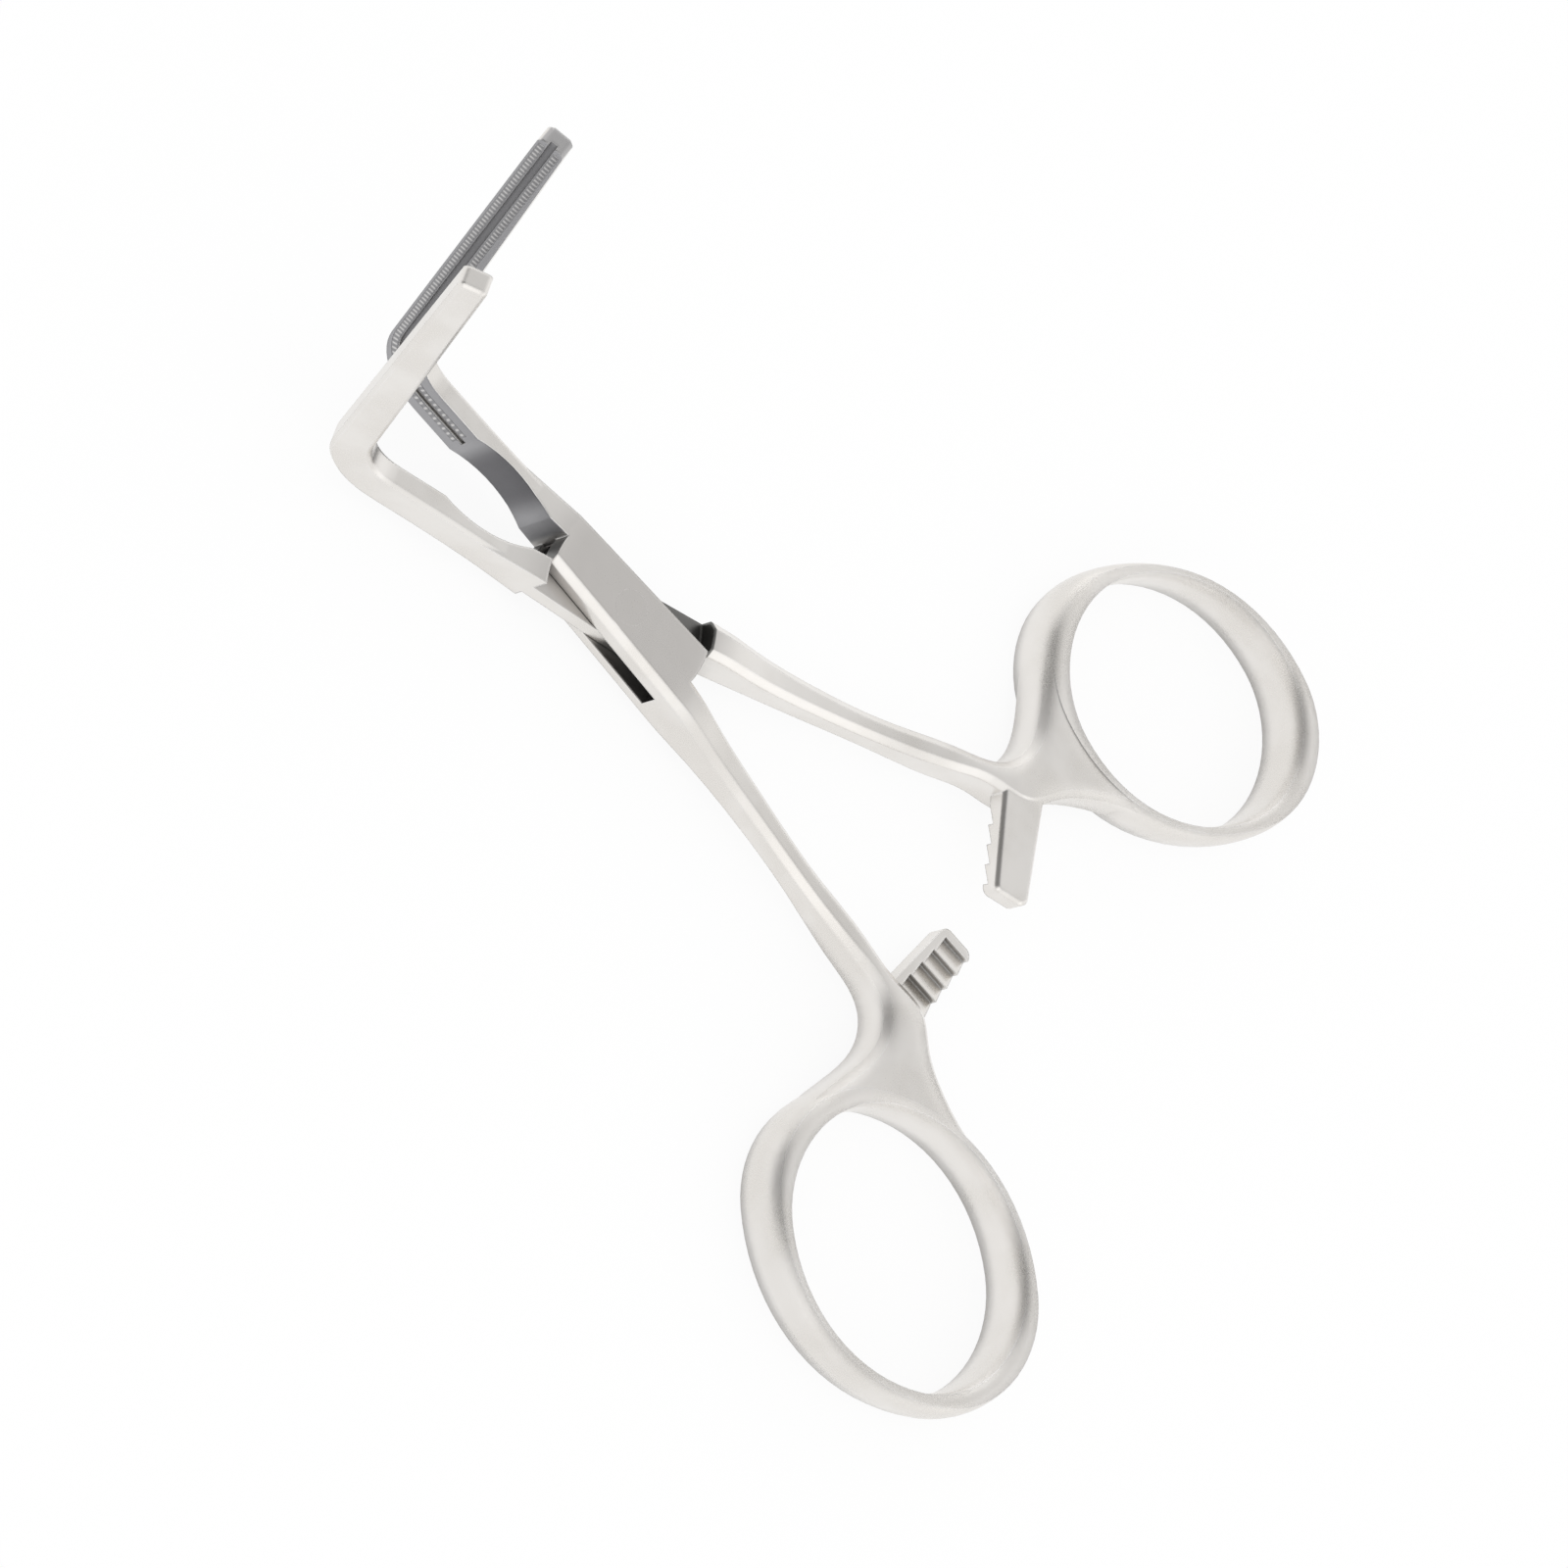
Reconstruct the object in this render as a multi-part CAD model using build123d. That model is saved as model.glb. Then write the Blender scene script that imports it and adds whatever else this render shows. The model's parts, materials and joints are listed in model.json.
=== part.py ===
from build123d import *
import math
import os

# Ring-handled box-lock clamp with upturned jaws, in millimetres.
# X runs across the handles, +Y from the pivot towards the jaws, +Z from the back face to the front.
# The origin is on the pivot axis at the back face of the box.
# Each half is drawn closed with its handle on the +X side, then turned to its open place.

# Opening
rest_half_opening_deg = 8.8
closed_face_gap = 0.10

# Box lock
box_thickness = 5.6
back_cheek = 1.4
slot_height = 2.1
tongue_clearance = 0.06
box_end_radius = 8.9
shoulder_clearance = 0.25
slot_end_wall = 0.3
slot_end_clearance = 0.25
box_handle_side_front = 2.75
box_handle_side_middle = 3.05
box_free_side_front = 2.45
box_free_side_middle = 2.75
box_free_side_rear = 3.00

# Pivot pin
pin_diameter = 2.6
pin_running_clearance = 0.04
pin_head_diameter = 3.4
pin_head_depth = 0.5

# Arms between the box and the heel
arm_root_width = 2.25
arm_width = 2.05
arm_height = 4.65
arm_back_step = 0.3
arm_root_length = 4.5
hollow_depth = 0.85
hollow_start = 11.2
hollow_middle = 16.2
hollow_end = 21.0

# Upturned jaws, seen from the side
jaw_lean_deg = 17.4
jaw_heel_reach = 29.8
jaw_heel_width = 3.5
jaw_tip_width = 2.65
jaw_length = 41.6
heel_inner_radius = 5.0
heel_outer_radius = 8.5
tip_round = 0.6

# Jaw faces
groove_width = 0.7
groove_depth = 0.45
ridge_height = 0.3
ridge_side_clearance = 0.08

# Shanks: distance behind the pivot, inner edge and outer edge
shank_root_step = 0.8
shank_root = (box_end_radius + shank_root_step, 0.15, 3.45)
shank_neck = (14.5, 0.65, 3.65)
shank_middle = (22.0, 1.55, 4.15)
shank_thin = (31.0, 2.85, 5.25)
shank_bow = (38.0, 3.95, 6.30)
shank_end = (42.0, 4.65, 7.00)
shank_thin_front = 1.35
shank_thin_back = 2.1
shank_end_half_height = 2.5

# Webs from the shanks to the rings: points of the outer and the inner edge as (across, behind)
web_outer = ((7.9, 43.5), (9.8, 44.75), (14.5, 44.6), (19.5, 43.4), (24.0, 44.2))
web_inner = ((4.95, 47.0), (7.1, 49.7), (9.1, 53.4), (10.4, 58.5))

# Ratchet: the arms' tips as (reach past the middle, distance behind the pivot)
ratchet_root_step = 1.0
ratchet_root_width = 5.0
front_ratchet_tip = (4.45, 46.2)
back_ratchet_tip = (4.45, 44.4)
ratchet_tip_width = 4.0
ratchet_thickness = 2.2
ratchet_face_gap = 0.10
ratchet_corner = 0.9
ratchet_bevel = 0.35
ratchet_rim = 0.8
tooth_count = 4
tooth_pitch = 1.85
tooth_depth = 0.75
tip_land = 0.8

# Finger rings
ring_across = 23.1
ring_behind = 59.4
ring_outer_half_width = 12.95
ring_outer_half_length = 16.8
ring_outer_end_radius = 10.7
ring_outer_bulge = 0.6
ring_hole_half_width = 11.5
ring_hole_half_length = 13.9
ring_hole_end_radius = 10.3
ring_hole_flare = 0.35
ring_lean_deg = 4.5
ring_depth = 6.4
ring_drop = 0.6

# Edges
edge_bevel = 0.35
handle_edge_bevel = 0.7

mid_plane = box_thickness / 2
face_x = -closed_face_gap / 2
arm_bottom = arm_back_step
arm_top = arm_bottom + arm_height
overcut = 1.0
past_all = 2 * jaw_length
near_enough = 0.1


def up(face, low, high):
    """Extrudes a plan face from one height to another."""
    return extrude(Pos(0, 0, low) * face, high - low)


def across(face, low, high):
    """Extrudes a side face, drawn in Y and Z, from one X to another."""
    return Pos(low, 0, 0) * extrude(Plane.YZ * face, high - low)


def on_circle(radius, x):
    """Distance along Y at which a circle about the pivot has this X."""
    return math.sqrt(radius**2 - x**2)


def behind(points):
    """Plan points of (across, behind the pivot) pairs."""
    return [(x, -distance) for x, distance in points]


def ring_place():
    """The ring's centre, with its long axis leaning outwards."""
    return Pos(ring_across, -ring_behind) * Rot(0, 0, ring_lean_deg)


def plan_face():
    """The outline of one half seen from the front, filled in to the middle of its ring."""
    jaw_end = jaw_heel_reach + jaw_length
    stations = (shank_root, shank_neck, shank_middle, shank_thin, shank_bow, shank_end)
    outer_points = [(outer_edge, distance) for distance, inner_edge, outer_edge in stations]
    inner_points = [(inner_edge, distance) for distance, inner_edge, outer_edge in stations]
    jaw_face = Line((face_x, jaw_end), (face_x, hollow_end))
    hollow = ThreePointArc(
        (face_x, hollow_end), (face_x - hollow_depth, hollow_middle), (face_x, hollow_start)
    )
    crotch = Line(hollow @ 1, (face_x, on_circle(box_end_radius, face_x)))
    front_middle = box_handle_side_front / 2
    front_end = ThreePointArc(
        crotch @ 1,
        (front_middle, on_circle(box_end_radius, front_middle)),
        (box_handle_side_front, on_circle(box_end_radius, box_handle_side_front)),
    )
    outer = Spline(front_end @ 1, (box_handle_side_middle, 0), *behind(outer_points), *behind(web_outer))
    root = (-face_x, -on_circle(box_end_radius, face_x))
    inner = Spline(*reversed(behind(inner_points) + behind(web_inner)), root)
    into_ring = Polyline(outer @ 1, (ring_across, -ring_behind), inner @ 0)
    rear_middle = -box_free_side_rear / 2
    rear_end = ThreePointArc(
        inner @ 1,
        (rear_middle, -on_circle(box_end_radius, rear_middle)),
        (-box_free_side_rear, -on_circle(box_end_radius, box_free_side_rear)),
    )
    free_side = Spline(
        rear_end @ 1,
        (-box_free_side_middle, 0),
        (-box_free_side_front, box_end_radius),
        (-arm_root_width, box_end_radius + arm_root_length),
        (-arm_width, hollow_end),
    )
    jaw_back = Polyline(free_side @ 1, (-arm_width, jaw_end), jaw_face @ 0)
    outline = [jaw_face, hollow, crotch, front_end, outer, into_ring, inner, rear_end, free_side, jaw_back]
    return make_face(Wire([edge for line in outline for edge in line.edges()]))


def jaw_corners():
    """Corners of the jaw's side view: inner heel, inner tip, outer tip and outer heel."""
    lean = math.radians(jaw_lean_deg)
    along = Vector(math.sin(lean), math.cos(lean))
    square = Vector(math.cos(lean), -math.sin(lean))
    inner_heel = Vector(jaw_heel_reach, arm_top)
    outer_line = inner_heel + square * jaw_heel_width
    outer_tip = outer_line + along * jaw_length
    inner_tip = outer_tip - square * jaw_tip_width
    outer_heel = outer_line - along * ((outer_line.Y - arm_bottom) / along.Y)
    return inner_heel, inner_tip, outer_tip, outer_heel


def near(vertices, point):
    """The vertex that lies closest to a point."""
    return min(vertices, key=lambda vertex: (vertex.center() - point).length)


def side_face():
    """The outline of one half seen from the side: web, shank, box, arm, heel and jaw."""
    inner_heel, inner_tip, outer_tip, outer_heel = jaw_corners()
    heights = (
        (shank_root[0], mid_plane, mid_plane),
        (shank_neck[0], (mid_plane + shank_thin_front) / 2, (mid_plane + shank_thin_back) / 2),
        (shank_middle[0], shank_thin_front, shank_thin_back),
        (shank_thin[0], shank_thin_front, shank_thin_back),
        (shank_end[0], shank_end_half_height, shank_end_half_height),
    )
    level = [(-1, 0), (-1, 0)]
    top = Spline(*[(-distance, mid_plane + front) for distance, front, back in heights], tangents=level)
    bottom = Spline(*[(-distance, mid_plane - back) for distance, front, back in heights], tangents=level)
    web_end = Polyline(top @ 1, (-ring_behind, (top @ 1).Y), (-ring_behind, (bottom @ 1).Y), bottom @ 1)
    root_end = box_end_radius + shoulder_clearance
    arm_start = box_end_radius + arm_root_length
    jaw_side = Polyline(
        bottom @ 0,
        (root_end, 0),
        (arm_start, arm_bottom),
        (outer_heel.X, outer_heel.Y),
        (outer_tip.X, outer_tip.Y),
        (inner_tip.X, inner_tip.Y),
        (inner_heel.X, inner_heel.Y),
        (arm_start, arm_top),
        (root_end, box_thickness),
        top @ 0,
    )
    outline = [top, web_end, bottom, jaw_side]
    face = make_face(Wire([edge for line in outline for edge in line.edges()]))
    face = fillet(near(face.vertices(), outer_heel), heel_outer_radius)
    face = fillet(near(face.vertices(), inner_heel), heel_inner_radius)
    tip = [near(face.vertices(), outer_tip), near(face.vertices(), inner_tip)]
    return fillet(tip, tip_round)


def runs_along(edge):
    """Whether an edge follows the half's outline, and is no straight line across it or up it."""
    size = edge.bounding_box().size
    return size.Y > near_enough or (size.X > near_enough and size.Z > near_enough)


def handle_edges(half, front):
    """The long edges of the box, shank and web at the front or at the back."""
    return [
        edge for edge in half.edges()
        if edge.geom_type == GeomType.BSPLINE and edge.bounding_box().min.Y < 0
        and edge.bounding_box().min.X > box_handle_side_front - near_enough
        and (edge.center().Z > mid_plane) == front
    ]


def blank():
    """One half's forging without its ring and ratchet, before the box lock is cut."""
    half = up(plan_face(), -overcut, past_all) & across(side_face(), -past_all, past_all)
    arm_start = box_end_radius + arm_root_length
    arm_back = [
        edge for edge in half.edges()
        if runs_along(edge) and edge.bounding_box().min.Y > arm_start - near_enough
        and edge.bounding_box().max.X < near_enough - arm_width
    ]
    half = chamfer(arm_back, edge_bevel)
    half = chamfer(handle_edges(half, front=True), handle_edge_bevel)
    return chamfer(handle_edges(half, front=False), edge_bevel)


def oval_turns(half_width, half_length, end_radius):
    """An oval's four arcs as (centre, radius, first angle, angle turned through)."""
    tangency = half_width**2 + half_length**2 - 2 * half_length * end_radius
    side_radius = tangency / (2 * (half_width - end_radius))
    side_centre = side_radius - half_width
    end_centre = half_length - end_radius
    half_side_turn = math.degrees(math.atan2(end_centre, side_centre))
    side_turn = 2 * half_side_turn
    end_turn = 180 - side_turn
    return (
        (Pos(-side_centre, 0), side_radius, -half_side_turn, side_turn),
        (Pos(0, end_centre), end_radius, half_side_turn, end_turn),
        (Pos(side_centre, 0), side_radius, 180 - half_side_turn, side_turn),
        (Pos(0, -end_centre), end_radius, 180 + half_side_turn, end_turn),
    )


def oval_disc(half_width, half_length, end_radius, bulge):
    """A disc as deep as the ring, over an oval, whose side swells by the bulge at the middle of its depth."""
    depth = ring_depth / 2
    disc = None
    for place, radius, first, turned in oval_turns(half_width, half_length, end_radius):
        side = ThreePointArc((radius - bulge, -depth), (radius, 0), (radius - bulge, depth))
        middle = Polyline(side @ 1, (0, depth), (0, -depth), side @ 0)
        section = make_face(Wire([*side.edges(), *middle.edges()]))
        sector = place * Rot(0, 0, first) * revolve(Plane.XZ * section, Axis.Z, turned)
        disc = sector if disc is None else disc + sector
    return Pos(0, 0, mid_plane - ring_drop) * ring_place() * disc


def ring_body():
    """The finger ring before its hole is made: barrel sided."""
    return oval_disc(ring_outer_half_width, ring_outer_half_length, ring_outer_end_radius, ring_outer_bulge)


def ring_hole():
    """The finger hole, which flares towards both faces."""
    return oval_disc(ring_hole_half_width, ring_hole_half_length, ring_hole_end_radius, -ring_hole_flare)


def ratchet_arm(tip, rim_by_box):
    """The front half's ratchet arm out to a tip, with saw teeth on its back face beside a plain rim."""
    reach, tip_distance = tip
    root = shank_end[0] + ratchet_root_step
    root_across = shank_end[2]
    length = root_across + reach
    low = mid_plane + ratchet_face_gap / 2
    plan = make_face(
        Polyline(
            (root_across, -root),
            (-reach, -tip_distance),
            (-reach, -tip_distance - ratchet_tip_width),
            (root_across, -root - ratchet_root_width),
            close=True,
        )
    )
    plan = fillet(plan.vertices().group_by(Axis.X)[0], ratchet_corner)
    arm = up(plan, low, low + ratchet_thickness)
    front_edges = arm.faces().sort_by(Axis.Z)[-1].edges()
    arm = chamfer([edge for edge in front_edges if edge.center().X < root_across - near_enough], ratchet_bevel)
    notch = make_face(Polyline((0, 0), (0, tooth_depth), (tooth_pitch, 0), close=True))
    for tooth in range(tooth_count):
        along = tip_land + tooth * tooth_pitch
        box_edge = tip_distance + (root - tip_distance) * along / length
        ring_edge = box_edge + ratchet_tip_width + (ratchet_root_width - ratchet_tip_width) * along / length
        start = box_edge + ratchet_rim if rim_by_box else box_edge - overcut
        end = ring_edge + overcut if rim_by_box else ring_edge - ratchet_rim
        arm -= Pos(along - reach, -start, low) * extrude(Plane.XZ * notch, end - start)
    return arm


def plain_half():
    """One half closed, with its ring, before its ratchet arm and box lock are made."""
    return blank() + ring_body() - ring_hole()


def quarter(reach, side):
    """A square plan face from the clamping face and the pivot: towards the jaws for 1, rings for -1."""
    return Pos(side * (face_x + reach / 2), side * reach / 2) * Rectangle(reach, reach)


def slot():
    """The way through the female half's box, open where the male half comes in and goes out."""
    reach = box_end_radius + shoulder_clearance
    inside = Circle(box_end_radius - slot_end_wall)
    open_sides = (quarter(reach, 1) + quarter(reach, -1)) & Circle(reach)
    return up(inside + open_sides, back_cheek, back_cheek + slot_height)


def tongue_cuts():
    """What the male half loses: the seats of both cheeks and the corners that would meet the slot's ends."""
    seat = Circle(box_end_radius + shoulder_clearance)
    low = back_cheek + tongue_clearance
    high = back_cheek + slot_height - tongue_clearance
    reach = box_end_radius + shoulder_clearance
    corner_radius = box_end_radius - slot_end_wall - slot_end_clearance
    corners = quarter(reach, 1) + quarter(reach, -1) - Circle(corner_radius)
    return up(seat, -overcut, low) + up(seat, high, box_thickness + overcut) + up(corners, low, high)


def clamp_trace(start_y, past_tip, width, low_x, high_x):
    """A strip along the middle of the clamping face, round the heel and up to or past the jaw's tip."""
    inner_heel, inner_tip, outer_tip, outer_heel = jaw_corners()
    start = Vector(start_y, (arm_bottom + arm_top) / 2)
    tip = (inner_tip + outer_tip) / 2
    lean = math.radians(jaw_lean_deg)
    corner = tip - Vector(math.sin(lean), math.cos(lean)) * ((tip.Y - start.Y) / math.cos(lean))
    middle_radius = (heel_inner_radius + heel_outer_radius) / 2
    end = tip + Vector(math.sin(lean), math.cos(lean)) * past_tip
    path = FilletPolyline((start.X, start.Y), (corner.X, corner.Y), (end.X, end.Y), radius=middle_radius)
    return across(trace(path, width), low_x, high_x)


def pin():
    """The pivot pin, riveted over into a countersink at each face of the box."""
    head_radius = pin_head_diameter / 2
    shaft_radius = pin_diameter / 2
    profile = Polyline(
        (0, 0),
        (head_radius, 0),
        (shaft_radius, pin_head_depth),
        (shaft_radius, box_thickness - pin_head_depth),
        (head_radius, box_thickness),
        (0, box_thickness),
        close=True,
    )
    return revolve(Plane.XZ * make_face(profile), Axis.Z)


def male_half():
    """The half whose tongue passes through the box, with a ridge along its clamping face."""
    ridge_width = groove_width - 2 * ridge_side_clearance
    ridge_start = hollow_end + ridge_side_clearance
    ridge = clamp_trace(ridge_start, -tip_round, ridge_width, face_x - groove_depth, face_x + ridge_height)
    bore = up(Circle(pin_diameter / 2 + pin_running_clearance), -overcut, box_thickness + overcut)
    half = plain_half() + ratchet_arm(front_ratchet_tip, rim_by_box=False) + ridge - tongue_cuts() - bore
    return Rot(0, 0, rest_half_opening_deg) * half


def female_half():
    """The half whose box holds the other one, with a groove along its clamping face."""
    groove = clamp_trace(hollow_end, overcut, groove_width, face_x - groove_depth, face_x + overcut)
    back_arm = mirror(ratchet_arm(back_ratchet_tip, rim_by_box=True), about=Plane.XY.offset(mid_plane))
    half = plain_half() + back_arm - groove - slot() - pin()
    return Rot(0, 0, -rest_half_opening_deg) * mirror(half, about=Plane.YZ)


os.makedirs("parts", exist_ok=True)
for name, solid in (("female_half", female_half()), ("male_half", male_half()), ("pivot_pin", pin())):
    export_step(solid, f"parts/{name}.step")
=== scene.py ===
"""Looks of a ring-handled bulldog clamp: satin steel halves, serrated clamping faces, plain studio.

Lengths in the dataclass fields are in millimetres, or in metres where a class says so.
The frame is that of the solids: +Y from the pivot towards the jaws, +Z from the back to the front.
"""

from __future__ import annotations

import json
import logging
import math
from dataclasses import dataclass, field
from enum import Enum

import bpy
import numpy as np
from mathutils import Matrix, Vector

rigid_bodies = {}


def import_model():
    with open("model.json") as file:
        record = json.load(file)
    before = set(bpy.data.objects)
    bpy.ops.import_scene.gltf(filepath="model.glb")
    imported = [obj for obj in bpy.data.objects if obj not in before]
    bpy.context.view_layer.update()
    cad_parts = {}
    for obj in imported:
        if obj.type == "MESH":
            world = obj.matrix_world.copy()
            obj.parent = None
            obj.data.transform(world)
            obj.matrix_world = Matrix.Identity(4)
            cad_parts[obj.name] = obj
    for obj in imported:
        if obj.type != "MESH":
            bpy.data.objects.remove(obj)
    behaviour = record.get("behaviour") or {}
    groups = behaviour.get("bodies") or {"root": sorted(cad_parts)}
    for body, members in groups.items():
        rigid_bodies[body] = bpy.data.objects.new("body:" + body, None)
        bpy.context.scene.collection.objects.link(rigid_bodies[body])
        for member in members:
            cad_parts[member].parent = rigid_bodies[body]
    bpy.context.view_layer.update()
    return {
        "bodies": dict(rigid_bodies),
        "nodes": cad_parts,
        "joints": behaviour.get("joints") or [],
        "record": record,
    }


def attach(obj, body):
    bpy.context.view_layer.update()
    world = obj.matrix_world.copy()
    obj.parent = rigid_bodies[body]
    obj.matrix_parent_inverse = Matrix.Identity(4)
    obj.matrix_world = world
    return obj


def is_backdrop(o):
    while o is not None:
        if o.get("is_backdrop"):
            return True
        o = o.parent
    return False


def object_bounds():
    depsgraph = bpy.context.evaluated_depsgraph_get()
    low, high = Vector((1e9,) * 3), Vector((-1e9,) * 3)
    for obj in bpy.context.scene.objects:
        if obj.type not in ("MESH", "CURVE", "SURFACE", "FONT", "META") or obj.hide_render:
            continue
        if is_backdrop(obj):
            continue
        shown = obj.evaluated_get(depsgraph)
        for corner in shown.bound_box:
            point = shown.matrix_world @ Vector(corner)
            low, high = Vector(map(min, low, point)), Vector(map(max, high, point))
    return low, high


MM = 0.001
OPEN = math.radians(8.8)
log = logging.getLogger("clamp")

Colour = tuple[float, float, float]
Direction = tuple[float, float, float]
Place = tuple[float, float, float]
Band = tuple[float, float]
UP: Direction = (0.0, 0.0, 1.0)
WHITE = (1.0, 1.0, 1.0, 1.0)
BLACK = (0.0, 0.0, 0.0, 1.0)


class Half(Enum):
    """The two halves of the clamp, by the name of their body."""

    FEMALE = "female"
    MALE = "male"

    @property
    def node(self) -> str:
        """Name of the half's solid."""
        return f"{self.value}_half"

    @property
    def side(self) -> float:
        """Side of the handle along X: -1 or 1."""
        return -1.0 if self is Half.FEMALE else 1.0

    @property
    def inward(self) -> Direction:
        """Way that the half's clamping face looks while the clamp stands open."""
        return self.side * math.cos(OPEN), math.sin(OPEN), 0.0

    @property
    def forward(self) -> Direction:
        """Way from the pivot to the heel along the half while the clamp stands open."""
        return -self.side * math.sin(OPEN), math.cos(OPEN), 0.0


class Land(Enum):
    """The two lands of a clamping face, by the side of its middle line that they lie on."""

    OUTER = -1
    INNER = 1


class Signal:
    """A socket that carries one number and takes part in Python expressions."""

    def __init__(self, graph: NodeGraph, socket: bpy.types.NodeSocket) -> None:
        """Wraps a socket of a graph."""
        self.graph = graph
        self.socket = socket

    def __add__(self, other: Signal | float) -> Signal:
        """Sum."""
        return self.graph.math("ADD", self, other)

    def __radd__(self, other: float) -> Signal:
        """Sum with the number first."""
        return self.graph.math("ADD", other, self)

    def __sub__(self, other: Signal | float) -> Signal:
        """Difference."""
        return self.graph.math("SUBTRACT", self, other)

    def __rsub__(self, other: float) -> Signal:
        """Difference with the number first."""
        return self.graph.math("SUBTRACT", other, self)

    def __mul__(self, other: Signal | float) -> Signal:
        """Product."""
        return self.graph.math("MULTIPLY", self, other)

    def __rmul__(self, other: float) -> Signal:
        """Product with the number first."""
        return self.graph.math("MULTIPLY", other, self)

    def between(self, low: float, high: float) -> Signal:
        """Ramps smoothly from 0 at the low value to 1 at the high value.

        Args:
            low: Value below which the result is 0.
            high: Value above which the result is 1.

        Returns:
            The ramped signal.
        """
        settings = {"interpolation_type": "SMOOTHSTEP", "clamp": True}
        inputs = {"Value": self, "From Min": low, "From Max": high}
        return Signal(self.graph, self.graph.add("ShaderNodeMapRange", settings, inputs).outputs["Result"])

    def between_mm(self, low: float, high: float) -> Signal:
        """The same ramp on a length in metres, with its ends in millimetres."""
        return self.between(low * MM, high * MM)


Feed = Signal | bpy.types.NodeSocket | float | tuple


class NodeGraph:
    """A node tree that is emptied and filled again in words."""

    def __init__(self, tree: bpy.types.NodeTree) -> None:
        """Empties the tree.

        Args:
            tree: Node tree of a material or world.
        """
        self.tree = tree
        tree.nodes.clear()

    def add(
        self,
        kind: str,
        settings: dict[str, object] | None = None,
        inputs: dict[str | int, Feed] | None = None,
    ) -> bpy.types.Node:
        """Makes one node, sets it up, then feeds its sockets.

        Args:
            kind: Type name of the node.
            settings: Properties of the node, set before its sockets.
            inputs: Values or links by socket name or number.

        Returns:
            The new node.
        """
        node = self.tree.nodes.new(kind)
        for name, value in (settings or {}).items():
            setattr(node, name, value)
        for name, value in (inputs or {}).items():
            self._feed(node.inputs[name], value)
        return node

    def math(self, operation: str, first: Signal | float, second: Signal | float) -> Signal:
        """Joins two numbers by a Math node.

        Args:
            operation: Name of the operation.
            first: Left value.
            second: Right value.

        Returns:
            The result.
        """
        node = self.add("ShaderNodeMath", {"operation": operation}, {0: first, 1: second})
        return Signal(self, node.outputs[0])

    def mix(self, share: Signal | float, first: Feed, second: Feed) -> bpy.types.NodeSocket:
        """Mixes two colours.

        Args:
            share: Share of the second colour, 0 to 1.
            first: Colour or link shown where the share is 0.
            second: Colour or link shown where the share is 1.

        Returns:
            The mixed colour's socket.
        """
        node = self.add("ShaderNodeMix", {"data_type": "RGBA"}, {0: share, 6: first, 7: second})
        return node.outputs[2]

    def blend(self, share: Signal, first: Feed, second: Feed) -> bpy.types.NodeSocket:
        """Mixes two directions and brings the result back to length 1.

        Args:
            share: Share of the second direction, 0 to 1.
            first: Direction where the share is 0.
            second: Direction where the share is 1.

        Returns:
            The mixed direction's socket.
        """
        node = self.add("ShaderNodeMix", {"data_type": "VECTOR"}, {0: share, 4: first, 5: second})
        unit = self.add("ShaderNodeVectorMath", {"operation": "NORMALIZE"}, {0: node.outputs[1]})
        return unit.outputs["Vector"]

    def dot(self, first: Feed, second: Feed) -> Signal:
        """How far one vector reaches along another."""
        node = self.add("ShaderNodeVectorMath", {"operation": "DOT_PRODUCT"}, {0: first, 1: second})
        return Signal(self, node.outputs["Value"])

    def off_pivot(self, place: bpy.types.NodeSocket) -> Signal:
        """Distance of a place from the pivot axis.

        Args:
            place: Coordinates in metres.

        Returns:
            The distance in metres.
        """
        flat = self.add("ShaderNodeVectorMath", {"operation": "MULTIPLY"}, {0: place, 1: (1.0, 1.0, 0.0)})
        length = self.add("ShaderNodeVectorMath", {"operation": "LENGTH"}, {0: flat.outputs["Vector"]})
        return Signal(self, length.outputs["Value"])

    def noise(self, place: bpy.types.NodeSocket, grain_mm: float, detail: float = 2.0) -> Signal:
        """Cloudy noise whose lumps are about one grain across.

        Args:
            place: Coordinates in metres.
            grain_mm: Size of a lump in millimetres.
            detail: Octaves of finer noise.

        Returns:
            A signal from 0 to 1 about 0.5.
        """
        inputs = {"Vector": place, "Scale": 1.0 / (grain_mm * MM), "Detail": detail}
        return Signal(self, self.add("ShaderNodeTexNoise", None, inputs).outputs["Fac"])

    def _feed(self, socket: bpy.types.NodeSocket, value: Feed) -> None:
        """Links a socket or sets its value.

        Args:
            socket: Socket to feed.
            value: What it gets.
        """
        if isinstance(value, Signal):
            self.tree.links.new(value.socket, socket)
        elif isinstance(value, bpy.types.NodeSocket):
            self.tree.links.new(value, socket)
        else:
            socket.default_value = value


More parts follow.
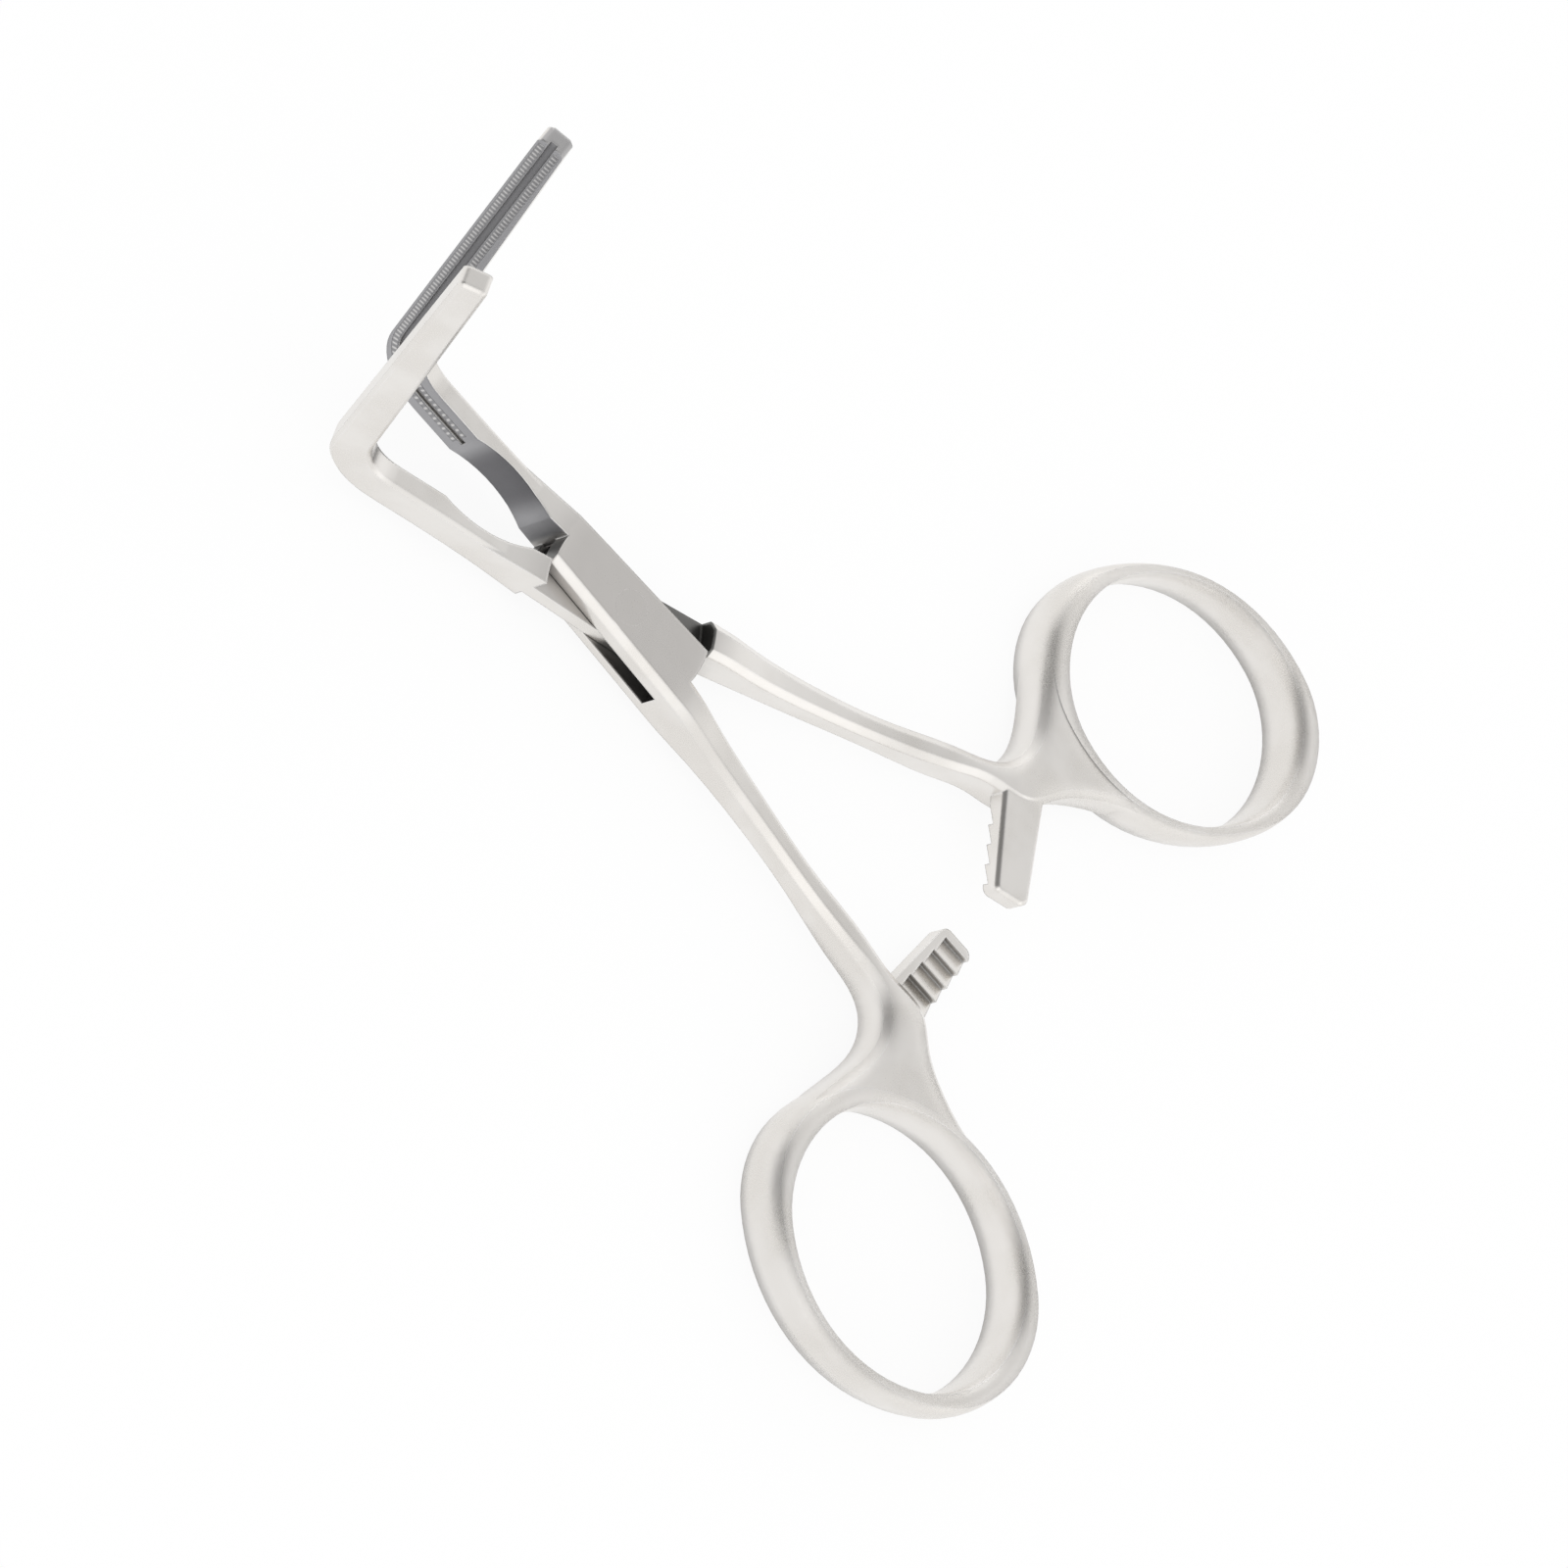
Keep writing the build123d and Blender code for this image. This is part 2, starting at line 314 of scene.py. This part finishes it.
@dataclass(frozen=True)
class SatinSteel:
    """Blasted and brushed instrument steel with polished edges, and painted shade that darkens its
    recesses.

    A field named band holds the two values between which its mask rises from 0 to 1.
    """

    name: str
    colour: Colour = (0.838, 0.814, 0.784)
    shade: Colour = (0.778, 0.750, 0.714)
    worn: Colour = (0.880, 0.867, 0.852)
    roughness: float = 0.29
    roughness_swing: float = 0.12
    edge_polish: float = 0.06
    matt_rough: float = 0.22
    cloud_mm: float = 7.0
    cloud_detail: float = 3.0
    cloud_band: Band = (0.35, 0.65)
    wear_band: Band = (0.2, 0.6)
    grain_mm: float = 0.16
    grain_rough: float = 0.08
    grain_depth_mm: float = 0.004
    brush_mm: float = 0.09
    brush_squeeze: float = 0.06
    brush_depth_mm: float = 0.003
    wave_mm: float = 2.6
    wave_depth_mm: float = 0.050
    relief: float = 0.6
    edge_mm: float = 0.34
    edge_samples: int = 6
    edge_band: Band = (0.01, 0.20)
    recess_mm: float = 4.5
    recess_samples: int = 8
    # The recess band and darkness paint shade: recesses found by ambient occlusion are darkened towards
    # black.
    recess_shade_band: Band = (0.12, 0.78)
    recess_painted_shade: float = 0.55
    recess_dull_band: Band = (0.10, 0.60)
    recess_dull: float = 0.25

    def material(self) -> bpy.types.Material:
        """Builds the material.

        Returns:
            A metal whose colour, roughness and fine relief vary over Object coordinates.
        """
        material = bpy.data.materials.new(self.name)
        material.use_nodes = True
        graph = NodeGraph(material.node_tree)
        place = graph.add("ShaderNodeTexCoord").outputs["Object"]
        cloud = graph.noise(place, self.cloud_mm, self.cloud_detail)
        grain = graph.noise(place, self.grain_mm)
        fine = self._rounded(graph, self.edge_mm)
        edge = self._edge(graph, fine)
        depth = self._depth(graph)
        body = graph.mix(cloud.between(*self.cloud_band), (*self.shade, 1.0), (*self.colour, 1.0))
        rim = graph.mix(edge * cloud.between(*self.wear_band), body, (*self.worn, 1.0))
        matt_and_shade = self._matt_and_shade(graph, place)
        finished = self._finished(graph, place, rim, matt_and_shade)
        # Painted shade: the base colour is mixed towards black where ambient occlusion finds a recess.
        painted_shade = graph.mix(self.recess_painted_shade, finished, BLACK)
        dull = (1.0 - depth.between(*self.recess_dull_band)) * self.recess_dull + matt_and_shade * self.matt_rough
        swing = (cloud - 0.5) * self.roughness_swing + (grain - 0.5) * self.grain_rough
        steel = graph.add("ShaderNodeBsdfPrincipled", None, {
            "Base Color": graph.mix(depth.between(*self.recess_shade_band), painted_shade, finished),
            "Metallic": 1.0,
            "Roughness": self.roughness + swing + dull - edge * self.edge_polish,
            "Normal": self._relief(graph, place, grain, self._normal(graph, place, fine)),
        })
        graph.add("ShaderNodeOutputMaterial", None, {"Surface": steel.outputs["BSDF"]})
        return material

    def _relief(self, graph: NodeGraph, place: bpy.types.NodeSocket, grain: Signal,
                normal: bpy.types.NodeSocket) -> bpy.types.NodeSocket:
        """Bumps of blasting grain, brush lines along the instrument and the wave of hand grinding.

        Args:
            graph: The material's graph.
            place: Coordinates in metres.
            grain: Noise of the blasting.
            normal: Normals that the bumps stand on.

        Returns:
            The socket of the bumped normals.
        """
        drawn_out = {"Vector": place, "Scale": (1.0, self.brush_squeeze, 1.0)}
        lines = graph.add("ShaderNodeMapping", None, drawn_out).outputs["Vector"]
        brush = graph.noise(lines, self.brush_mm, 1.0)
        wave = graph.noise(place, self.wave_mm, 1.0)
        height = (grain * (self.grain_depth_mm * MM) + brush * (self.brush_depth_mm * MM)
                  + wave * (self.wave_depth_mm * MM))
        inputs = {"Height": height, "Distance": 1.0, "Strength": self.relief, "Normal": normal}
        return graph.add("ShaderNodeBump", None, inputs).outputs["Normal"]

    def _depth(self, graph: NodeGraph) -> Signal:
        """Tells how open a place is to its surroundings.

        Args:
            graph: The material's graph.

        Returns:
            A signal that is 1 on open faces and less in recesses.
        """
        settings = {"samples": self.recess_samples}
        node = graph.add("ShaderNodeAmbientOcclusion", settings, {"Distance": self.recess_mm * MM})
        return Signal(graph, node.outputs["AO"])

    def _rounded(self, graph: NodeGraph, radius_mm: float) -> bpy.types.NodeSocket:
        """Normals as if each edge had this radius."""
        settings = {"samples": self.edge_samples}
        return graph.add("ShaderNodeBevel", settings, {"Radius": radius_mm * MM}).outputs["Normal"]

    def _edge(self, graph: NodeGraph, fine: bpy.types.NodeSocket) -> Signal:
        """Nearness to an edge: how far the normal rounded over a small radius leans off the true one."""
        facing = graph.add("ShaderNodeNewGeometry").outputs["Normal"]
        return (1.0 - graph.dot(fine, facing)).between(*self.edge_band)

    def _normal(self, graph: NodeGraph, place: bpy.types.NodeSocket,
                fine: bpy.types.NodeSocket) -> bpy.types.NodeSocket:
        """Normals that the finish is seen by: those of the finely rounded edges."""
        return fine

    def _matt_and_shade(self, graph: NodeGraph, place: bpy.types.NodeSocket) -> Signal | float:
        """Share of the matt finish and of painted shade: none."""
        return 0.0

    def _finished(self, graph: NodeGraph, place: bpy.types.NodeSocket, colour: bpy.types.NodeSocket,
                  matt_and_shade: Signal | float) -> bpy.types.NodeSocket:
        """Colour by zone: the same all over."""
        return colour


@dataclass(frozen=True)
class HalfSteel(SatinSteel):
    """The steel of one half, with ground cheeks, rounded rings, matt inner faces with painted shade on
    them, painted shade in the box's slot and on the female jaw's end face.

    Bands in millimetres are measured from the pivot axis, or along the half, across it or up it.
    """

    half: Half = Half.FEMALE
    cheek: Colour = (0.640, 0.617, 0.594)
    # Painted shade: land colours the inner faces that look at the other half, and the hollow colour,
    # darker still, their groove.
    land: Colour = (0.430, 0.428, 0.440)
    hollow_shade: Colour = (0.180, 0.178, 0.187)
    # Painted shade on the female jaw's end face.
    tip: Colour = (0.450, 0.443, 0.443)
    # Painted shade in the box's slot: on the male half's tongue and at the mouth of the female half's
    # slot.
    slot_shade: Colour = (0.200, 0.197, 0.190)
    pin_band_mm: Band = (2.3, 2.5)
    ring_radius_mm: float = 3.0
    ring_band_mm: Band = (4.8, 7.0)
    ahead_band_mm: Band = (9.0, 9.8)
    inside_band: Band = (0.55, 0.80)
    cheek_band_mm: Band = (7.15, 13.0)
    cheek_level_band: Band = (0.5, 0.9)
    sunk_band_mm: Band = (0.20, 0.80)
    tip_band_mm: Band = (40.5, 42.0)
    tip_level_band: Band = (0.3, 0.7)
    mouth_band_mm: Band = (13.0, 13.5)
    mouth_level_band: Band = (0.5, 0.8)
    tongue_band_mm: Band = (9.3, 9.45)
    box_wall_band_mm: Band = (-2.75, -2.45)

    def _normal(self, graph: NodeGraph, place: bpy.types.NodeSocket,
                fine: bpy.types.NodeSocket) -> bpy.types.NodeSocket:
        """Rounds the normals widely on the ring, finely elsewhere and not at all over the flush pin.

        Args:
            graph: The material's graph.
            place: Coordinates in metres.
            fine: Normals of the finely rounded edges.

        Returns:
            The socket of the blended normals.
        """
        broad = self._rounded(graph, self.ring_radius_mm)
        by_ring = graph.dot(place, self.half.inward).between_mm(*self.ring_band_mm)
        facing = graph.add("ShaderNodeNewGeometry").outputs["Normal"]
        at_pin = 1.0 - graph.off_pivot(place).between_mm(*self.pin_band_mm)
        return graph.blend(at_pin, graph.blend(by_ring, fine, broad), facing)

    def _matt_and_shade(self, graph: NodeGraph, place: bpy.types.NodeSocket) -> Signal | float:
        """Share of the matt finish and of painted shade, on the faces ahead of the box that look at the
        other half.

        Args:
            graph: The material's graph.
            place: Coordinates in metres.

        Returns:
            The share, 0 to 1.
        """
        own_normal = graph.add("ShaderNodeTexCoord").outputs["Normal"]
        inside = graph.dot(own_normal, self.half.inward).between(*self.inside_band)
        return inside * graph.dot(place, self.half.forward).between_mm(*self.ahead_band_mm)

    def _finished(self, graph: NodeGraph, place: bpy.types.NodeSocket, colour: bpy.types.NodeSocket,
                  matt_and_shade: Signal | float) -> bpy.types.NodeSocket:
        """Colours the zones: darker cheeks, painted shade on the inner faces and deeper in their groove,
        then the painted shade that only this half has.

        Args:
            graph: The material's graph.
            place: Coordinates in metres.
            colour: Colour of the plain steel.
            matt_and_shade: Share of the matt finish and of painted shade.

        Returns:
            The socket of the finished colour.
        """
        own_normal = graph.add("ShaderNodeTexCoord").outputs["Normal"]
        radius = graph.off_pivot(place)
        upright = graph.dot(own_normal, UP)
        at_box = 1.0 - radius.between_mm(*self.cheek_band_mm)
        level = (upright * upright).between(*self.cheek_level_band)
        ground = graph.mix(at_box * level, colour, (*self.cheek, 1.0))
        # Painted shade on the inner faces, darkest in their groove.
        sunk = (0.0 - graph.dot(place, self.half.inward)).between_mm(*self.sunk_band_mm)
        faced = graph.mix(matt_and_shade, ground, graph.mix(sunk, (*self.land, 1.0), (*self.hollow_shade, 1.0)))
        # Painted shade in the box's slot on the male half's tongue.
        if self.half is Half.MALE:
            return graph.mix(self._on_tongue(graph, place, radius), faced, (*self.slot_shade, 1.0))
        # Painted shade on the female jaw's end face, high up the jaw where it faces along Z.
        high = graph.dot(place, UP).between_mm(*self.tip_band_mm)
        tipped = graph.mix(high * upright.between(*self.tip_level_band), faced, (*self.tip, 1.0))
        # Painted shade at the mouth of the female half's slot.
        mouth = graph.dot(own_normal, self.half.forward).between(*self.mouth_level_band)
        near_box = 1.0 - radius.between_mm(*self.mouth_band_mm)
        return graph.mix(mouth * near_box, tipped, (*self.slot_shade, 1.0))

    def _on_tongue(self, graph: NodeGraph, place: bpy.types.NodeSocket, radius: Signal) -> Signal:
        """Share of the male half's tongue that gets painted shade: within the box's reach and inside the
        female half's wall.

        Args:
            graph: The material's graph.
            place: Coordinates in metres.
            radius: Distance from the pivot axis in metres.

        Returns:
            The share, 0 to 1.
        """
        in_box = 1.0 - radius.between_mm(*self.tongue_band_mm)
        beside = (0.0 - graph.dot(place, Half.FEMALE.inward)).between_mm(*self.box_wall_band_mm)
        return in_box * beside


@dataclass(frozen=True)
class SerratedSteel(SatinSteel):
    """Matt steel of the treads, with painted highlight on the crests of their teeth and painted shade in
    their valleys.
    """

    roughness: float = 0.36
    # Painted shade in the valleys and painted highlight on the crests of the teeth.
    valley_shade: Colour = (0.300, 0.298, 0.305)
    crest: Colour = (0.640, 0.630, 0.622)
    crest_band: Band = (0.35, 0.95)
    edge_mm: float = 0.05

    def _finished(self, graph: NodeGraph, place: bpy.types.NodeSocket, colour: bpy.types.NodeSocket,
                  matt_and_shade: Signal | float) -> bpy.types.NodeSocket:
        """Colours by the height of the teeth, from the piece's own attribute.

        Args:
            graph: The material's graph.
            place: Coordinates in metres, which don't matter here.
            colour: Colour of the plain steel, which doesn't show.
            matt_and_shade: Share of the matt finish and painted shade, which is none.

        Returns:
            The socket of the finished colour.
        """
        crest = graph.add("ShaderNodeAttribute", {"attribute_name": "crest"}).outputs["Fac"]
        height = Signal(graph, crest).between(*self.crest_band)
        # Painted shade low on the teeth, painted highlight high on them.
        return graph.mix(height, (*self.valley_shade, 1.0), (*self.crest, 1.0))


@dataclass(frozen=True)
class PinSteel(SatinSteel):
    """Steel of the pin, ground flush with the cheeks and all but lost in them."""

    colour: Colour = (0.640, 0.617, 0.594)
    shade: Colour = (0.630, 0.607, 0.584)
    edge_mm: float = 0.02


def add_mesh(name: str, points: np.ndarray, faces: list, material: bpy.types.Material) -> bpy.types.Object:
    """Puts a mesh in the scene with its place in its points.

    Args:
        name: Name of the piece.
        points: Corner places in metres, one row each.
        faces: Corner numbers of each face.
        material: Finish of the piece.

    Returns:
        The new object, smooth shaded, at the origin.
    """
    mesh = bpy.data.meshes.new(name)
    mesh.from_pydata(points.tolist(), [], faces)
    mesh.polygons.foreach_set("use_smooth", np.ones(len(mesh.polygons), bool))
    mesh.materials.append(material)
    mesh.update()
    piece = bpy.data.objects.new(name, mesh)
    bpy.context.scene.collection.objects.link(piece)
    return piece


def tube_faces(stations: int, sides: int) -> list:
    """Faces of a profile of some sides carried through stations, with both ends closed.

    Args:
        stations: Number of copies of the profile.
        sides: Points in the profile, which is a closed loop.

    Returns:
        Corner numbers: quads between neighbouring stations, then the two end faces.
    """
    station, side = np.meshgrid(np.arange(stations - 1), np.arange(sides), indexing="ij")
    ahead = (side + 1) % sides
    quads = np.stack([station * sides + side, station * sides + ahead,
                      (station + 1) * sides + ahead, (station + 1) * sides + side], axis=-1)
    first = np.arange(sides)[::-1].tolist()
    last = ((stations - 1) * sides + np.arange(sides)).tolist()
    return quads.reshape(-1, 4).tolist() + [first, last]


@dataclass
class ClampPath:
    """Middle line of the clamping face in the side view: along the arm, round the heel, up the jaw."""

    start: tuple[float, float] = (21.6, 2.625)
    corner: tuple[float, float] = (31.35, 2.625)
    tip: tuple[float, float] = (44.12, 43.36)
    heel_radius: float = 6.75

    def stations(self, step: float) -> tuple[np.ndarray, np.ndarray, np.ndarray]:
        """Samples the line at even steps.

        The two straight runs meet in an arc of the heel radius that touches both. A point at distance s
        along the line is on the first run, on the arc, or on the second run.

        Args:
            step: Distance between samples in millimetres.

        Returns:
            Distances, points as (y, z) rows, and unit directions as (y, z) rows.
        """
        start, corner, tip = (np.array(point) for point in (self.start, self.corner, self.tip))
        into = (corner - start) / np.linalg.norm(corner - start)
        out = (tip - corner) / np.linalg.norm(tip - corner)
        turn = math.acos(float(into @ out))
        touch = self.heel_radius * math.tan(turn / 2)
        first_run = np.linalg.norm(corner - start) - touch
        arc = self.heel_radius * turn
        second_run = np.linalg.norm(tip - corner) - touch
        distance = np.arange(0.0, first_run + arc + second_run, step)
        angle = np.clip((distance - first_run) / self.heel_radius, 0.0, turn)
        before = np.minimum(distance, first_run)
        after = np.maximum(distance - first_run - arc, 0.0)
        square = np.array([-into[1], into[0]])
        radius = self.heel_radius
        points = (start + before[:, None] * into + (radius * np.sin(angle))[:, None] * into
                  + (radius * (1 - np.cos(angle)))[:, None] * square + after[:, None] * out)
        heading = np.cos(angle)[:, None] * into + np.sin(angle)[:, None] * square
        return distance, points, heading


@dataclass
class ClampTread:
    """Fine cross teeth on one land of a clamping face."""

    half: Half
    land: Land
    path: ClampPath = field(default_factory=ClampPath)
    face: float = -0.05
    near_edge: float = 0.42
    width: float = 0.70
    pitch: float = 0.62
    tooth: float = 0.035
    buried: float = 0.12
    steps_per_tooth: int = 8
    columns: int = 7

    def build(self, material: bpy.types.Material) -> bpy.types.Object:
        """Makes the strip of teeth and lets it ride on its half.

        The height over the face at distance s along the strip and place v across it is
        tooth x (1 - cos(2 pi s / pitch)) / 2 x (1 - v^4), which is nothing at both long edges.

        Args:
            material: Finish of the strip.

        Returns:
            The strip.
        """
        distance, points, heading = self.path.stations(self.pitch / self.steps_per_tooth)
        across = np.linspace(-1.0, 1.0, self.columns)
        wave = (1 - np.cos(2 * math.pi * distance / self.pitch)) / 2
        height = self.tooth * wave[:, None] * (1 - across**4)[None, :]
        offset = self.land.value * (self.near_edge + self.width * (across + 1) / 2)
        top = self._rows(points, heading, offset, self.face + height)
        sunk = np.full((len(distance), 2), self.face - self.buried)
        bottom = self._rows(points, heading, offset[[-1, 0]], sunk)
        rings = np.concatenate([top, bottom], axis=1)
        faces = tube_faces(len(distance), rings.shape[1])
        name = f"{self.half.value}_tread_{self.land.name.lower()}"
        piece = add_mesh(name, self._placed(rings.reshape(-1, 3)) * MM, faces, material)
        crest = np.concatenate([height / self.tooth, np.zeros((len(distance), 2))], axis=1)
        piece.data.attributes.new("crest", "FLOAT", "POINT").data.foreach_set("value", crest.ravel())
        self._face_outwards(piece)
        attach(piece, self.half.value)
        return piece

    def _rows(self, points: np.ndarray, heading: np.ndarray, offset: np.ndarray,
              x: np.ndarray) -> np.ndarray:
        """Places of a grid: points moved square to the heading by the offset, at the heights x.

        Args:
            points: Middle line as (y, z) rows.
            heading: Unit directions as (y, z) rows.
            offset: Distances across, one for each column.
            x: Height over the clamping plane for each grid point.

        Returns:
            Array of stations by columns by (x, y, z).
        """
        y = points[:, 0, None] - heading[:, 1, None] * offset[None, :]
        z = points[:, 1, None] + heading[:, 0, None] * offset[None, :]
        return np.stack([x, y, z], axis=-1)

    def _placed(self, rows: np.ndarray) -> np.ndarray:
        """Turns places drawn on a closed half to the open one: mirrored for the female, then turned.

        A turn by the angle a takes (x, y) to (x cos a - y sin a, x sin a + y cos a).

        Args:
            rows: Places as (x, y, z) rows.

        Returns:
            The turned places as (x, y, z) rows.
        """
        angle = OPEN * self.half.side
        x = rows[:, 0] * self.half.side
        y = rows[:, 1]
        turned_x = x * math.cos(angle) - y * math.sin(angle)
        turned_y = x * math.sin(angle) + y * math.cos(angle)
        return np.stack([turned_x, turned_y, rows[:, 2]], axis=1)

    def _face_outwards(self, piece: bpy.types.Object) -> None:
        """Turns the faces round where the volume that they enclose comes out negative.

        The volume is a sixth of the sum of a . (b x c) over the triangles with corners a, b and c.

        Args:
            piece: Object with a closed mesh.
        """
        mesh = piece.data
        mesh.calc_loop_triangles()
        corners = np.zeros(len(mesh.loop_triangles) * 3, np.int32)
        mesh.loop_triangles.foreach_get("vertices", corners)
        places = np.zeros(len(mesh.vertices) * 3, np.float32)
        mesh.vertices.foreach_get("co", places)
        a, b, c = places.reshape(-1, 3)[corners.reshape(-1, 3)].transpose(1, 0, 2)
        if float(np.einsum("ij,ij->i", a, np.cross(b, c)).sum()) < 0:
            mesh.flip_normals()


@dataclass
class ForgedHalf:
    """One half of the clamp: its solid, dressed, and the teeth on its clamping face."""

    half: Half

    def build(self, frame: dict) -> list[bpy.types.Object]:
        """Dresses the solid and adds its treads.

        Args:
            frame: What the frame returned.

        Returns:
            The new pieces.
        """
        satin = HalfSteel(f"{self.half.value}_satin", half=self.half).material()
        dress(frame["nodes"][self.half.node], satin)
        serrated = SerratedSteel(f"{self.half.value}_serrated").material()
        return [ClampTread(self.half, land).build(serrated) for land in Land]


@dataclass
class PivotPin:
    """The riveted pin, whose ends are ground flush with the box."""

    node: str = "pivot_pin"

    def build(self, frame: dict) -> bpy.types.Object:
        """Dresses the pin's solid.

        Args:
            frame: What the frame returned.

        Returns:
            The pin's object.
        """
        pin = frame["nodes"][self.node]
        dress(pin, PinSteel("pin_flush").material())
        return pin


def dress(node: bpy.types.Object, material: bpy.types.Material) -> None:
    """Gives a solid's object its material.

    Args:
        node: Object of a solid.
        material: Its finish.
    """
    if not node.material_slots:
        node.data.materials.append(material)
    for slot in node.material_slots:
        slot.material = material


@dataclass(frozen=True)
class Lamp:
    """A soft square lamp aimed at the clamp.

    Its place and size are in metres. Its brightness is that of its face, where plain white has 1.
    """

    name: str
    place: Place
    size: float
    brightness: float

    def build(self, aim: Vector) -> bpy.types.Object:
        """Hangs the lamp.

        Args:
            aim: Point that the lamp looks at, in metres.

        Returns:
            The lamp's object.
        """
        data = bpy.data.lights.new(self.name, "AREA")
        data.shape = "SQUARE"
        data.size = self.size
        data.energy = self.brightness * math.pi * self.size**2
        lamp = bpy.data.objects.new(self.name, data)
        lamp.location = self.place
        lamp.rotation_euler = (aim - Vector(self.place)).to_track_quat("-Z", "Y").to_euler()
        bpy.context.scene.collection.objects.link(lamp)
        return lamp


@dataclass
class Studio:
    """Plain white floor and surround with soft lamps and one dark flag for the metal to mirror.

    Lengths and places are in metres. A band on a direction holds two cosines.
    """

    aim: Place = (0.0, -0.012, 0.010)
    floor_half: float = 3.0
    drop: float = 0.0001
    shadow_share: float = 0.14
    floor_glow: float = 1.045
    floor_paint: float = 0.90
    fill: float = 0.75
    overhead: float = 0.64
    overhead_band: Band = (0.50, 1.0)
    flag_way: Direction = (-0.242, 0.793, 0.564)
    flag_band: Band = (0.70, 0.92)
    flag_dark: float = 0.80
    lamps: tuple[Lamp, ...] = (
        Lamp("left_softbox", (-0.76, 0.15, 0.54), 0.60, 0.34),
        Lamp("right_softbox", (0.84, 0.36, 0.30), 0.45, 0.60),
        Lamp("front_softbox", (-0.46, -0.78, 0.30), 0.40, 0.34),
    )

    def build(self) -> bpy.types.Object:
        """Lays the floor, lights the world and hangs the lamps.

        Returns:
            The floor.
        """
        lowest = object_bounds()[0][2] - self.drop
        corner = self.floor_half
        grid = np.array([(-corner, -corner, lowest), (corner, -corner, lowest),
                         (corner, corner, lowest), (-corner, corner, lowest)])
        floor = add_mesh("floor", grid, [(0, 1, 2, 3)], self._floor_finish())
        floor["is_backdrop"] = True
        self._light_world()
        for lamp in self.lamps:
            lamp.build(Vector(self.aim))
        return floor

    def _rays(self, graph: NodeGraph) -> tuple[Signal, Signal]:
        """Tells apart what sees the studio.

        Args:
            graph: Graph of a material or world.

        Returns:
            A signal that is 1 for the camera, and one that is 1 off metal and through glass.
        """
        light = graph.add("ShaderNodeLightPath")
        camera, glossy, through = (
            Signal(graph, light.outputs[name])
            for name in ("Is Camera Ray", "Is Glossy Ray", "Is Transmission Ray")
        )
        return camera, graph.math("MAXIMUM", glossy, through)

    def _floor_finish(self) -> bpy.types.Material:
        """Finishes the floor so that it looks white and keeps part of its shadow.

        Returns:
            A mix of plain paint, which takes the shadow, and an even glow.
        """
        material = bpy.data.materials.new("floor_white")
        material.use_nodes = True
        graph = NodeGraph(material.node_tree)
        grey = (self.floor_paint, self.floor_paint, self.floor_paint, 1.0)
        paint = graph.add("ShaderNodeBsdfDiffuse", None, {"Color": grey})
        glow = graph.add("ShaderNodeEmission", None, {"Color": WHITE, "Strength": self.floor_glow})
        camera, mirrored = self._rays(graph)
        share = graph.math("MAXIMUM", camera, mirrored) * (1.0 - self.shadow_share)
        both = graph.add("ShaderNodeMixShader", None,
                         {0: share, 1: paint.outputs["BSDF"], 2: glow.outputs["Emission"]})
        graph.add("ShaderNodeOutputMaterial", None, {"Surface": both.outputs["Shader"]})
        return material

    def _light_world(self) -> None:
        """Lights the world with a white surround that fills the shadows less than it shows.

        What the metal mirrors greys towards the ceiling and is darkest at the flag.
        """
        world = bpy.data.worlds.new("studio")
        bpy.context.scene.world = world
        world.use_nodes = True
        graph = NodeGraph(world.node_tree)
        camera, mirrored = self._rays(graph)
        way = graph.add("ShaderNodeTexCoord").outputs["Generated"]
        ceiling = 1.0 - graph.dot(way, UP).between(*self.overhead_band) * (1.0 - self.overhead)
        flag = 1.0 - graph.dot(way, self.flag_way).between(*self.flag_band) * self.flag_dark
        shown = ceiling * flag
        strength = camera + (1.0 - camera) * (self.fill + mirrored * (shown - self.fill))
        sky = graph.add("ShaderNodeBackground", None, {"Color": WHITE, "Strength": strength})
        graph.add("ShaderNodeOutputWorld", None, {"Surface": sky.outputs["Background"]})


@dataclass
class CameraRig:
    """The camera at the photograph's place, in metres, given by its own three axes."""

    place: Place = (-0.311215, 0.240404, 0.549629)
    right: Direction = (0.419116, -0.702382, 0.575327)
    above: Direction = (0.786397, 0.597537, 0.156620)
    behind: Direction = (-0.453786, 0.386793, 0.802788)
    lens_mm: float = 171.305
    sensor_mm: float = 36.0
    nearest: float = 0.01
    farthest: float = 50.0

    def build(self) -> bpy.types.Object:
        """Sets the camera up and makes it the scene's own.

        Returns:
            The camera's object.
        """
        data = bpy.data.cameras.new("camera")
        data.lens = self.lens_mm
        data.sensor_width = self.sensor_mm
        data.clip_start = self.nearest
        data.clip_end = self.farthest
        camera = bpy.data.objects.new("camera", data)
        turn = Matrix((self.right, self.above, self.behind)).transposed().to_4x4()
        camera.matrix_world = Matrix.Translation(self.place) @ turn
        bpy.context.scene.collection.objects.link(camera)
        bpy.context.scene.camera = camera
        return camera


def main() -> None:
    """Builds the clamp's looks in order and reports each piece."""
    logging.basicConfig(level=logging.INFO, format="%(message)s")
    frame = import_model()
    for half in Half:
        for piece in ForgedHalf(half).build(frame):
            log.info("%s: %d faces on %s", piece.name, len(piece.data.polygons), half.value)
    log.info("%s: dressed", PivotPin().build(frame).name)
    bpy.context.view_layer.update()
    Studio().build()
    CameraRig().build()
    bpy.context.scene.view_settings.view_transform = "Standard"


if __name__ == "__main__":
    main()
